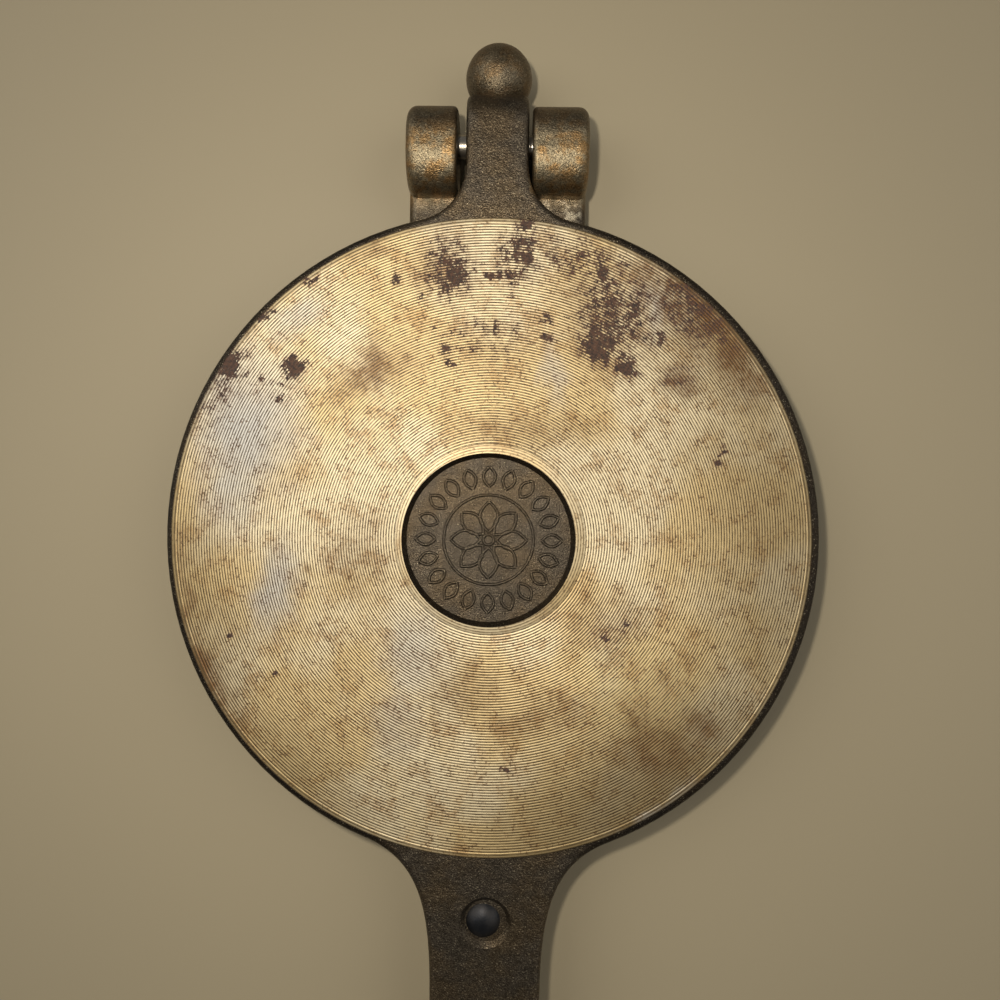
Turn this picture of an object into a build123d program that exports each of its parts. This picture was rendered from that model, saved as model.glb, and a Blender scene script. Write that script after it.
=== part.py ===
"""Krumkake iron: two hinged cast-iron baking plates with riveted steel and wood handles.

Millimetres, +Z up.  The iron lies closed and flat on its lower plate.  The origin is the
centre of the plates, in the plane of the lower back face.  The hinge is toward +Y and the
handles point toward -Y.

Each half is built once, as if it were the upper one, with the closing plane at z = 0 and
the back face upward.  The upper half is then lifted to the closing plane, and the lower
half is mirrored below it.
"""
from build123d import *

import os
from math import atan2, cos, degrees, radians, sin, sqrt, tan

os.makedirs("parts", exist_ok=True)

# --- Closed stack, measured square to the plates ---
plate_thickness = 9.85      # turned back face to rim land
rim_gap = 0.30              # between the two rim lands
handle_gap = 1.60           # between the two handle bars

# --- Round plates ---
rim_radius = 82.1
rim_edge = 0.6              # rounding from the rim to the land
casting_arris = 1.6         # rounding from the raw back to every side wall
rim_land = 6.1              # flat land outside the sunk baking field
field_depth = 0.7
face_step = 0.8             # the turned face stands this far above the raw casting
turned_inset = 2.1          # rim to the turned face's edge
turned_runout = -0.3        # the lathe centre misses the casting's centre by this
turned_edge = 0.25
turned_land = 1.2           # plain ring at each side of the grooved ring
groove_depth = 0.2
recess_radius = 21.75       # raw round recess in the middle of the turned face
recess_depth = 2.0
recess_draft = 28.0         # degrees
recess_across = -0.7
recess_along = -0.3

# --- Hinge ---
pin_setback = 19.3          # rim to pin axis
pin_radius = 3.0
pin_clearance = 0.08        # radial, in the tongue
pin_proud = 0.3             # past each ear
ear_span = 46.4             # over both ears
ear_radius = 9.7
ear_flat = 3.4              # flat top of an ear, from above the pin toward the rim
valley_share = 0.48         # concave round under an ear, of the room from ear to rim
ear_foot_drop = 1.0         # foot below the closing plane
ear_outer_arris = 2.6
ear_inner_arris = 1.3
ear_root = 2.5              # concave round between the ears and the rim
slot_width = 19.2
slot_shift = -0.7
tongue_width = 15.8
tongue_flare = 14.0         # concave round between the tongue and the rim
tongue_end = 12.2           # pin axis to the tongue's end
tongue_end_round = 8.0
ball_reach = 17.4           # pin axis to the ball's centre
ball_radius = 8.6

# --- Necks ---
neck_width = 27.8
neck_reach = 57.9           # rim to the neck's end
neck_flare_angle = 22.0     # where the flare leaves the rim, from the handle's axis
neck_flare_lead = 16.0
neck_flare_run = 22.0
neck_straight = 22.0        # end of the flare to the neck's end
neck_corner = 3.0

# --- Handle bars ---
bar_width = 18.0
bar_thickness = 3.2
bar_setback = 6.2           # rim to the bar's inner end
bar_tail = 22.3             # grip's end to the bar's outer end
bar_corner = 1.0
bar_fit = 0.15              # clearance at each side and at the inner end of the channel
hang_radius = 3.0
hang_inset = 9.0            # bar's outer end to the hanging hole

# --- Neck rivets ---
rivet_radius = 2.5
rivet_setback = 14.5        # rim to the front rivet
rivet_inset = 13.4          # rear rivet to the neck's end
rivet_across = -0.6
rivet_head_radius = 4.3
rivet_head_height = 1.9
rivet_tail_radius = 3.9
rivet_tail_depth = 1.4
dish_radius = 6.5
dish_floor_radius = 5.3
dish_depth = 1.3

# --- Wooden grips ---
grip_gap = 12.0             # neck's end to the grip
grip_length = 98.0
grip_end_width = 24.0
grip_middle_width = 28.0
grip_thickness = 9.0
grip_corner = 5.0
grip_round = 5.0
grip_pin_radius = 2.4
grip_pin_inset = 16.0       # each end of the grip to its pin

# --- Heights above the closing plane, for a half built as the upper one ---
land_height = rim_gap / 2
face_height = land_height + plate_thickness
cast_height = face_height - face_step
bar_height = handle_gap / 2
channel_height = bar_height + bar_thickness
grip_height = bar_height + grip_thickness
closing_plane = face_height

# --- Sizes and places that follow from those above; reaches are from the plates' centre ---
field_radius = rim_radius - rim_land
turned_radius = rim_radius - turned_inset
pin_reach = rim_radius + pin_setback
ear_valley = valley_share * (pin_setback - ear_flat - ear_radius)
neck_end = rim_radius + neck_reach
grip_start = neck_end + grip_gap
grip_end = grip_start + grip_length
bar_start = rim_radius + bar_setback
bar_end = grip_end + bar_tail
rivet_places = (rim_radius + rivet_setback, neck_end - rivet_inset)
grip_pin_places = (grip_start + grip_pin_inset, grip_end - grip_pin_inset)
upper_half = Pos(0, 0, closing_plane)


def lower_half(shape):
    """Turn a half built as the upper one over, and hang it below the closing plane."""
    return upper_half * mirror(shape, about=Plane.XY)


def upright(radius, low, high, across=0.0, along=0.0):
    """A vertical cylinder between two heights."""
    return Pos(across, along, (low + high) / 2) * Cylinder(radius, high - low)


def frustum(low_radius, high_radius, low, high, across=0.0, along=0.0):
    """A vertical cone frustum between two heights."""
    return Pos(across, along, (low + high) / 2) * Cone(low_radius, high_radius, high - low)


def block(width, near, far, low, high, across=0.0):
    """A box centred across the iron, between two places along it and two heights."""
    place = Pos(across, (near + far) / 2, (low + high) / 2)
    return place * Box(width, far - near, high - low)


def along_pin(radius, left, right):
    """A cylinder on the pin axis between two places across the iron."""
    place = Pos((left + right) / 2, pin_reach, 0) * Rot(0, 90, 0)
    return place * Cylinder(radius, right - left)


def side_profile(sketch, left, right):
    """Extrude a sketch drawn as (along, height) between two places across the iron."""
    plane = Plane(origin=(left, 0, 0), x_dir=(0, 1, 0), z_dir=(1, 0, 0))
    return extrude(plane * sketch, right - left)


def span(near, far, low, high):
    """A rectangle between two places along the iron and two heights."""
    return Pos((near + far) / 2, (low + high) / 2) * Rectangle(far - near, high - low)


def plate_blank():
    """The raw round casting, with its rounded rim."""
    section = span(0, rim_radius, land_height, cast_height)
    back_corner = section.vertices().group_by(Axis.X)[-1].sort_by(Axis.Y)[-1]
    section = fillet(back_corner, casting_arris)
    land_corner = section.vertices().group_by(Axis.Y)[0].sort_by(Axis.X)[-1]
    section = fillet(land_corner, rim_edge)
    return revolve(Plane.XZ * section, Axis.Z)


def finish_faces(casting):
    """Add the turned back face, then sink its grooved ring, its recess and the baking field."""
    pad = upright(turned_radius, cast_height - face_step, face_height, turned_runout)
    pad = chamfer(pad.edges().group_by(Axis.Z)[-1], turned_edge)
    casting += pad
    floor_radius = recess_radius - recess_depth * tan(radians(recess_draft))
    recess_floor = face_height - recess_depth
    casting -= frustum(floor_radius, recess_radius, recess_floor, face_height,
                       recess_across, recess_along)
    groove_floor = face_height - groove_depth
    inner_land = recess_radius + abs(recess_across) + turned_land
    ring = upright(turned_radius - turned_land, groove_floor, face_height, turned_runout)
    ring -= upright(inner_land, groove_floor, face_height, turned_runout)
    casting -= ring
    casting -= frustum(field_radius, field_radius - field_depth, land_height,
                       land_height + field_depth)
    return casting


def web_end(half_width, flare):
    """Plate centre to the end of the web, where the rounds run into the arm's sides."""
    return sqrt((rim_radius + flare) ** 2 - (half_width + flare) ** 2)


def web_plan(half_width, flare):
    """Plan of the concave rounds where an arm toward the hinge meets the rim."""
    along = web_end(half_width, flare)
    end = Line((0, along), (half_width, along))
    turn = JernArc(end @ 1, (0, -1), flare, degrees(atan2(along, half_width + flare)))
    inside = (turn @ 1) * ((rim_radius - casting_arris) / rim_radius)
    root = Line(turn @ 1, inside)
    chord = Line(inside, (0, inside.Y))
    half = Curve() + [end, turn, root, chord]
    return make_face(half + mirror(half, about=Plane.YZ))


def web_solid(half_width, flare, foot_height):
    """The web at the root of an arm toward the hinge, from a foot height to the back."""
    plan = Pos(0, 0, foot_height) * web_plan(half_width, flare)
    web = extrude(plan, cast_height - foot_height)
    back = web.faces().sort_by(Axis.Z)[-1]
    return fillet(back.edges().filter_by(GeomType.CIRCLE), casting_arris)


def tongue_profile(start):
    """Side view of the tongue: a straight arm, a knuckle on the pin and a rounded end."""
    arm = span(start, pin_reach, land_height, cast_height)
    knuckle = Pos(pin_reach, 0) * Circle(cast_height)
    knuckle -= span(0, start, -cast_height, cast_height)
    end = span(pin_reach, pin_reach + tongue_end, -cast_height, cast_height)
    end = fillet(end.vertices().group_by(Axis.X)[-1], tongue_end_round)
    return arm + knuckle + end


def tongue():
    """The tongue, with rounded arrises, cut off square where the web takes over."""
    start = web_end(tongue_width / 2, tongue_flare)
    profile = tongue_profile(start - casting_arris)
    arm = side_profile(profile, -tongue_width / 2, tongue_width / 2)
    arm = fillet(arm.faces().filter_by(Axis.X).edges(), casting_arris)
    return arm - block(tongue_width, 0, start, -cast_height, 2 * cast_height)


def upper_hinge():
    """The upper casting's side of the hinge: tongue, web and ball nose, bored for the pin."""
    web = web_solid(tongue_width / 2, tongue_flare, land_height)
    bore = along_pin(pin_radius + pin_clearance, -tongue_width, tongue_width)
    ball = Pos(0, pin_reach + ball_reach, 0) * Sphere(ball_radius)
    return tongue() + web + ball - bore


def ear_profile():
    """Side view of an ear: a round hump on the pin and a foot that runs under the rim."""
    near = pin_reach - ear_flat
    hump = Pos(pin_reach, 0) * Circle(ear_radius) + Pos(near, 0) * Circle(ear_radius)
    hump += span(near, pin_reach, -ear_radius, ear_radius)
    foot = span(web_end(ear_span / 2, ear_root), pin_reach, ear_foot_drop, cast_height)
    profile = hump + foot
    valley = profile.vertices().group_by(Axis.Y)[0].sort_by(Axis.X)[-1]
    return fillet(valley, ear_valley)


def ear(outer, inner):
    """One ear between its outer and inner faces, with its arrises rounded."""
    solid = side_profile(ear_profile(), min(outer, inner), max(outer, inner))
    for face_place, arris in ((outer, ear_outer_arris), (inner, ear_inner_arris)):
        sides = solid.faces().filter_by(Axis.X)
        side = sides.sort_by(lambda face: abs(face.center().X - face_place))[0]
        solid = fillet(side.edges().filter_by(lambda edge: edge.center().Y > rim_radius), arris)
    return solid


def lower_hinge():
    """The lower casting's side of the hinge: two ears on their feet, bored for the pin."""
    half_span = ear_span / 2
    slot_left = slot_shift - slot_width / 2
    slot_right = slot_shift + slot_width / 2
    web = web_solid(half_span, ear_root, ear_foot_drop)
    slot = block(slot_width, rim_radius / 2, pin_reach, land_height, face_height, slot_shift)
    web -= slot - upright(rim_radius, land_height, face_height)
    bore = along_pin(pin_radius, -ear_span, ear_span)
    return ear(-half_span, slot_left) + ear(half_span, slot_right) + web - bore


def neck_plan():
    """Plan of the handle neck, which flares from the rim and narrows to a straight arm."""
    angle = radians(neck_flare_angle)
    start = Vector(rim_radius * sin(angle), -rim_radius * cos(angle))
    lead = start + Vector(-cos(angle), -sin(angle)) * neck_flare_lead
    half_width = neck_width / 2
    end = Vector(half_width, neck_straight - neck_end)
    run = end + Vector(0, neck_flare_run)
    flare = Bezier(start, lead, run, end)
    wall = Line(flare @ 1, (half_width, -neck_end))
    tip = Line(wall @ 1, (0, -neck_end))
    inside = start * ((rim_radius - casting_arris) / rim_radius)
    root = Line(start, inside)
    chord = Line(inside, (0, inside.Y))
    half = Curve() + [flare, wall, tip, root, chord]
    plan = make_face(half + mirror(half, about=Plane.YZ))
    return fillet(plan.vertices().group_by(Axis.Y)[0], neck_corner)


def neck():
    """The cast neck, with a channel for the bar and a dished seat for each rivet head."""
    arm = extrude(Pos(0, 0, bar_height) * neck_plan(), cast_height - bar_height)
    outline = arm.faces().sort_by(Axis.Z)[-1].edges()
    arm = fillet(outline.filter_by(lambda edge: edge.center().Y < -rim_radius), casting_arris)
    channel_end = bar_fit - bar_start
    arm -= block(bar_width + 2 * bar_fit, -neck_end, channel_end, bar_height, channel_height)
    dish_floor = cast_height - dish_depth
    for place in rivet_places:
        arm -= frustum(dish_floor_radius, dish_radius, dish_floor, cast_height, 0, -place)
        arm -= upright(rivet_radius, channel_height, dish_floor, rivet_across, -place)
    return arm


def upper_plate():
    """The upper casting."""
    return upper_half * (finish_faces(plate_blank()) + upper_hinge() + neck())


def lower_plate():
    """The lower casting."""
    return lower_half(finish_faces(plate_blank()) + lower_hinge() + neck())


def hinge_pin():
    """The steel pin, pressed in the ears and free in the tongue."""
    end = ear_span / 2 + pin_proud
    pin = along_pin(pin_radius, -end, end)
    return upper_half * chamfer(pin.faces().filter_by(Axis.X).edges(), pin_proud)


def handle_bar():
    """A flat steel bar with a rounded end, a hanging hole, and holes for its rivets."""
    near = -bar_start
    far = -bar_end
    bar = block(bar_width, far, near, bar_height, channel_height)
    bar = fillet(bar.edges().filter_by(Axis.Z).group_by(Axis.Y)[-1], bar_corner)
    tip = bar_width / 2
    bar -= block(bar_width, far, far + tip, bar_height, channel_height)
    bar += upright(tip, bar_height, channel_height, 0, far + tip)
    bar -= upright(hang_radius, bar_height, channel_height, 0, far + hang_inset)
    for place in rivet_places:
        bar -= rivet_body(place)
    for place in grip_pin_places:
        bar -= grip_pin(place)
    return bar


def rivet_body(place):
    """A neck rivet's shank with its flush, countersunk tail."""
    tail_top = bar_height + rivet_tail_depth
    shank = upright(rivet_radius, bar_height, cast_height - dish_depth, rivet_across, -place)
    tail = frustum(rivet_tail_radius, rivet_radius, bar_height, tail_top, rivet_across, -place)
    return shank + tail


def neck_rivet(place):
    """A neck rivet, with a domed head that stands in its dish."""
    seat = cast_height - dish_depth
    dome_radius = (rivet_head_radius ** 2 + rivet_head_height ** 2) / (2 * rivet_head_height)
    dome = Pos(rivet_across, -place, seat + rivet_head_height - dome_radius) * Sphere(dome_radius)
    head = dome & upright(rivet_head_radius, seat, seat + rivet_head_height, rivet_across, -place)
    return rivet_body(place) + head


def grip_pin(place):
    """A pin through a grip and its bar, flush at both ends."""
    return upright(grip_pin_radius, bar_height, grip_height, 0, -place)


def grip():
    """A wooden grip with bellied sides and a rounded back, let over its bar."""
    near = -grip_start
    far = near - grip_length
    end = grip_end_width / 2
    side = ThreePointArc((end, near), (grip_middle_width / 2, (near + far) / 2), (end, far))
    half = Curve() + [Line((0, near), (end, near)), side, Line((end, far), (0, far))]
    plan = make_face(half + mirror(half, about=Plane.YZ))
    plan = fillet(plan.vertices(), grip_corner)
    wood = extrude(Pos(0, 0, bar_height) * plan, grip_thickness)
    wood = fillet(wood.faces().sort_by(Axis.Z)[-1].edges(), grip_round)
    wood -= block(bar_width + 2 * bar_fit, far, near, bar_height, channel_height)
    for place in grip_pin_places:
        wood -= grip_pin(place)
    return wood


def half_fittings():
    """The pieces that both halves have, built as the upper half's."""
    front_rivet, rear_rivet = rivet_places
    front_pin, rear_pin = grip_pin_places
    return {
        "handle_bar": handle_bar(),
        "neck_rivet_front": neck_rivet(front_rivet),
        "neck_rivet_rear": neck_rivet(rear_rivet),
        "grip": grip(),
        "grip_pin_front": grip_pin(front_pin),
        "grip_pin_rear": grip_pin(rear_pin),
    }


def build():
    """Every piece of the iron, by name."""
    pieces = {
        "lower_plate": lower_plate(),
        "upper_plate": upper_plate(),
        "hinge_pin": hinge_pin(),
    }
    for name, piece in half_fittings().items():
        pieces["lower_" + name] = lower_half(piece)
        pieces["upper_" + name] = upper_half * piece
    return pieces


for node, solid in build().items():
    export_step(solid, f"parts/{node}.step")
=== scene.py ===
# %% [markdown]
# # A krumkake iron
# A krumkake iron bakes thin rolled wafers. Two round cast-iron plates are hinged on a pin, and
# each has a handle. The back of each plate is turned on a lathe, and the rest is left as it
# came out of the sand mould. The CAD parts come in as a fixed frame. Most of them are kept and
# only get a finish. What is too fine for CAD, such as the lathe's rings, the flower in the
# middle and the pattern that marks the wafers, is made here as thin pieces laid on the castings.

# %% Load the frame
import math

import bmesh
import bpy
from mathutils import Matrix, Vector


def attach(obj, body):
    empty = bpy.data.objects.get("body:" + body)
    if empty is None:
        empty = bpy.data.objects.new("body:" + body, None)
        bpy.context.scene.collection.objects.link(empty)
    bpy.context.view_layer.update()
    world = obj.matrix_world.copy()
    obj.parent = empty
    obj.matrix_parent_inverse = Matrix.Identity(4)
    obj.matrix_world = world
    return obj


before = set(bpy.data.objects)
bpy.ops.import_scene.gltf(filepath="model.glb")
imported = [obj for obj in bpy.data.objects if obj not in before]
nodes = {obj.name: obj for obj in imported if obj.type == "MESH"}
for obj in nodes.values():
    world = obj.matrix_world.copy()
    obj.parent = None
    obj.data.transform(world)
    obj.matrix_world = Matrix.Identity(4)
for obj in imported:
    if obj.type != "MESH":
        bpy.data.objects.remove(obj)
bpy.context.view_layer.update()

MM = 0.001
print("nodes", sorted(nodes))

# %% [markdown]
# Colours are written as on a screen, in sRGB hex, but shaders work in linear light. One
# function turns one into the other. One more adds a node to a tree, sets its options and
# fills its inputs, either with a value or with a link from another node.


# %% Colour and node helpers
def linear(hex_colour):
    """An sRGB hex colour as the linear RGBA that a shader takes."""
    parts = [int(hex_colour[i:i + 2], 16) / 255 for i in (1, 3, 5)]
    curve = [c / 12.92 if c <= 0.04045 else ((c + 0.055) / 1.055) ** 2.4 for c in parts]
    return (*curve, 1.0)


def add_node(tree, kind, inputs=(), **settings):
    """Add a node with its settings. A socket as an input is linked, anything else is set."""
    node = tree.nodes.new(kind)
    for name, value in settings.items():
        setattr(node, name, value)
    for key, value in dict(inputs).items():
        if isinstance(value, bpy.types.NodeSocket):
            tree.links.new(value, node.inputs[key])
        else:
            node.inputs[key].default_value = value
    return node


def new_material(name):
    """A material with an empty tree, and its shader and output joined."""
    material = bpy.data.materials.new(name)
    material.use_nodes = True
    tree = material.node_tree
    tree.nodes.clear()
    shader = add_node(tree, "ShaderNodeBsdfPrincipled")
    add_node(tree, "ShaderNodeOutputMaterial", {"Surface": shader.outputs["BSDF"]})
    return material, tree, shader


# %% [markdown]
# Every finish here is worked out from patterns in space, in real millimetres. Noise spread over
# the object's own coordinates gives the grain of sand casting, the drift of colour in an old
# oily surface, and rust. These few functions make the pieces that the finishes share: the
# object's place in millimetres, noise of a given size, and a ramp between colours or values.


# %% Patterns in millimetres
def place_in_mm(tree):
    """Object coordinates in millimetres, so that a pattern's scale is one over its size."""
    coords = add_node(tree, "ShaderNodeTexCoord")
    scaled = add_node(tree, "ShaderNodeVectorMath", {0: coords.outputs["Object"], "Scale": 1 / MM},
                      operation="SCALE")
    return scaled.outputs["Vector"]


def noise(tree, place, size_mm, detail, roughness=0.5, distortion=0.0, seed=0.0):
    """Noise whose blobs are about size_mm across. A seed shifts it to another part of space."""
    shifted = add_node(tree, "ShaderNodeVectorMath", {0: place, 1: (seed, seed, seed)})
    made = add_node(tree, "ShaderNodeTexNoise", {
        "Vector": shifted.outputs["Vector"], "Scale": 1 / size_mm, "Detail": detail,
        "Roughness": roughness, "Distortion": distortion})
    return made.outputs["Fac"]


def axes_of(tree, place):
    """The place's three values: across the iron, along it, and up."""
    apart = add_node(tree, "ShaderNodeSeparateXYZ", {"Vector": place}).outputs
    return apart["X"], apart["Y"], apart["Z"]


def about_centre(tree, place, centre):
    """Radius from a centre line, and the angle round it, both as values."""
    moved = add_node(tree, "ShaderNodeVectorMath", {0: place, 1: (centre.x, centre.y, 0)},
                     operation="SUBTRACT")
    axes = add_node(tree, "ShaderNodeSeparateXYZ", {"Vector": moved.outputs["Vector"]}).outputs
    flat = add_node(tree, "ShaderNodeCombineXYZ", {"X": axes["X"], "Y": axes["Y"]})
    radius = add_node(tree, "ShaderNodeVectorMath", {0: flat.outputs["Vector"]}, operation="LENGTH")
    return radius.outputs["Value"], math_node(tree, "ARCTAN2", axes["Y"], axes["X"])


def ramp(tree, value, low, high, to_low=0.0, to_high=1.0):
    """Value from low..high taken smoothly to to_low..to_high, held flat outside."""
    made = add_node(tree, "ShaderNodeMapRange", {
        "Value": value, "From Min": low, "From Max": high, "To Min": to_low, "To Max": to_high},
        interpolation_type="SMOOTHSTEP")
    return made.outputs["Result"]


def between(tree, value, low, high, edge):
    """One where the value lies between low and high, with edges that soft."""
    return math_node(tree, "MULTIPLY", ramp(tree, value, low - edge, low + edge),
                     ramp(tree, value, high - edge, high + edge, 1.0, 0.0))


def math_node(tree, operation, first, second=0.0):
    """One operation on one or two values."""
    made = add_node(tree, "ShaderNodeMath", {0: first, 1: second}, operation=operation)
    return made.outputs["Value"]


def mix_colour(tree, factor, first, second):
    """Two colours, each a hex string or a socket, mixed by a factor."""
    first, second = (linear(c) if isinstance(c, str) else c for c in (first, second))
    made = add_node(tree, "ShaderNodeMix", {0: factor, 6: first, 7: second}, data_type="RGBA")
    return made.outputs[2]


def bump(tree, height, distance_mm, strength=1.0, under=None):
    """A bump from a height of 0..1, that tall in millimetres, over another bump if given."""
    inputs = {"Height": height, "Distance": distance_mm * MM, "Strength": strength}
    if under is not None:
        inputs["Normal"] = under
    return add_node(tree, "ShaderNodeBump", inputs).outputs["Normal"]


# %% [markdown]
# ## Sand-cast iron
# The raw skin of a casting copies the sand of its mould: grains of about a third of a
# millimetre, with shallow swells between them. The grain's colour follows its bump, darker in
# the pits and lighter on the peaks: partly the grain's own tone, partly painted shade and
# painted glints. Years of fat have baked on it to a dark brown film that shines like bronze
# where light strikes it straight on. So the shader is mostly metallic, with a dark warm colour
# that still catches the light. Slow noise lets its brown drift. The ears and the ball nose are
# rubbed by hands and by the stand, so the film is thin there and the iron shines through it
# like old gold. On the ears this gold is also a painted highlight: it lies on the slope of each
# hump that faces the flash lamp and fades towards the far end. The foot of each ear, where it
# runs into the rim, has a pale band in patches, which is a painted highlight. The recess keeps
# the most soot. The rim round the turned face is painted nearly black away from the necks:
# painted shade.


# %% Sand-cast iron
SLOT_CENTRE = -0.7
LATHE_CENTRE = Vector((-0.3, 0.0))
RIM_RADII = (79.9, 82.8)
NECK_EDGES = (16.0, 30.0)
SLOT_HALF_WIDTH = 8.8
EAR_SPREAD = 9.0
FOOT_START = 83.0
FOOT_END = 88.5
FOOT_HEIGHTS = (8.6, 11.4)
HUMP_FACE = (84.0, 90.0)
HUMP_BACK = (98.0, 106.0)
NOSE_NECK = (111.0, 114.0)
RECESS_CENTRE = Vector((-0.7, -0.3))
RECESS_EDGE = (21.0, 23.0)
GRAIN_SIZE = 0.36
SWELL_SIZE = 3.0


def sand_cast_finish(tree, place):
    """Colour, roughness and bump of raw cast iron under fat, with some painted highlight and shade.
    """
    grain = noise(tree, place, GRAIN_SIZE, detail=2.0, roughness=0.6)
    swell = noise(tree, place, SWELL_SIZE, detail=3.0, seed=11.0)
    drift = noise(tree, place, 14.0, detail=4.0, roughness=0.6, seed=23.0)
    patch = noise(tree, place, 4.0, detail=4.0, roughness=0.65, seed=31.0)
    across, along, height = axes_of(tree, place)
    beside = math_node(tree, "ABSOLUTE", math_node(tree, "SUBTRACT", across, SLOT_CENTRE))
    off_slot = ramp(tree, beside, SLOT_HALF_WIDTH - 0.4, SLOT_HALF_WIDTH + 0.4)
    # The gold on the ear humps is partly wear and partly a painted highlight, laid on the slope
    # that faces the flash lamp and fading towards the far end.
    on_hump = math_node(tree, "MULTIPLY", ramp(tree, along, *HUMP_FACE),
                        ramp(tree, along, *HUMP_BACK, 1.0, 0.3))
    ears_wear_and_highlight = math_node(tree, "MULTIPLY", off_slot, on_hump)
    # A pale patchy band on each ear's foot, stronger on the right: a painted highlight.
    foot_painted_highlight = math_node(tree, "MULTIPLY", off_slot,
                        between(tree, along, FOOT_START, FOOT_END, 1.0))
    foot_painted_highlight = math_node(tree, "MULTIPLY", foot_painted_highlight, between(tree, height, *FOOT_HEIGHTS, 0.3))
    foot_painted_highlight = math_node(tree, "MULTIPLY", foot_painted_highlight, ramp(tree, patch, 0.46, 0.60, 0.0, 0.6))
    foot_painted_highlight = math_node(tree, "MULTIPLY", foot_painted_highlight,
                        ramp(tree, across, -EAR_SPREAD, EAR_SPREAD, 0.35, 1.0))
    on_ball = ramp(tree, along, *NOSE_NECK, 0.0, 0.30)
    rubbed_and_highlight = math_node(tree, "MAXIMUM", ears_wear_and_highlight, on_ball)
    base = mix_colour(tree, ramp(tree, drift, 0.40, 0.62), "#4e463b", "#574a38")
    gold = mix_colour(tree, ramp(tree, patch, 0.42, 0.62), "#877a61", "#8f7149")
    # Mix in the gold: wear on the ball nose, wear and painted highlight on the ears.
    base = mix_colour(tree, rubbed_and_highlight, base, gold)
    # Paint the highlight on the ear feet.
    base = mix_colour(tree, foot_painted_highlight, base, "#c9bda3")
    recess, _ = about_centre(tree, place, RECESS_CENTRE)
    base = mix_colour(tree, ramp(tree, recess, *RECESS_EDGE, 0.35, 0.0), base, "#2a241c")
    from_lathe, _ = about_centre(tree, place, LATHE_CENTRE)
    # The rim round the turned face, away from the necks, is painted nearly black: painted shade.
    beside_necks = ramp(tree, math_node(tree, "ABSOLUTE", across), *NECK_EDGES, 0.0, 0.75)
    rim_painted_shade = math_node(tree, "MULTIPLY", between(tree, from_lathe, *RIM_RADII, 0.3), beside_necks)
    base = mix_colour(tree, rim_painted_shade, base, "#17130f")
    # Grain colour follows the bump: darker pits and lighter peaks, partly the grain's own tone and
    # partly painted shade and painted glints.
    shade = ramp(tree, grain, 0.34, 0.56, 0.60, 0.0)
    base = mix_colour(tree, shade, base, "#1f1812")
    base = mix_colour(tree, ramp(tree, grain, 0.60, 0.76, 0.0, 0.6), base, "#b8aa8c")
    rough = ramp(tree, swell, 0.3, 0.7, 0.34, 0.44)
    lumps = bump(tree, swell, 0.30, 0.8)
    skin = bump(tree, grain, 0.16, 1.0, under=lumps)
    return base, rough, skin


# %% [markdown]
# ## Turned iron
# The back face is turned flat on a lathe, which leaves a groove at each turn of the spindle. The
# bare ridges are pale grey iron, warmed to cream and gold by years of heat and fat. The grooves
# hold old brown fat. Rust sits in clusters of small dark spots where the iron was put away
# damp, brown fat has crept in from the rim, and heat has left pale blue patches. The rings are
# real geometry, made further on. The finish only darkens their bottoms, so it needs to know
# how far a point is from the lathe's centre.

# %% Sizes of the turned faces
FACE_HEIGHT = 20.0
FACE_RADIUS = 80.0
RINGS_INNER = 23.65
RINGS_OUTER = 78.8
RING_TURNS = 82
RING_PITCH = (RINGS_OUTER - RINGS_INNER) / RING_TURNS
RING_DEPTH = 0.12
RING_TOP = FACE_HEIGHT - 0.01
RING_THICKNESS = 0.4
RING_SIDES = 256
RECESS_RADIUS = 21.75
RECESS_FLOOR = 18.0
print("ring pitch", round(RING_PITCH, 4), "mm")

# %% [markdown]
# A spot of rust is a circle on the face: its place across and along the iron, its radius and
# how strong it is. A larger stain is an oval, with two half sizes and a turn in degrees. A
# Mapping node takes the oval to a circle of radius one, and the distance from its middle fades
# it out. The strongest stain at a point wins. The circles and ovals are only where a stain may
# be. Noise decides where in them it really is.

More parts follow.
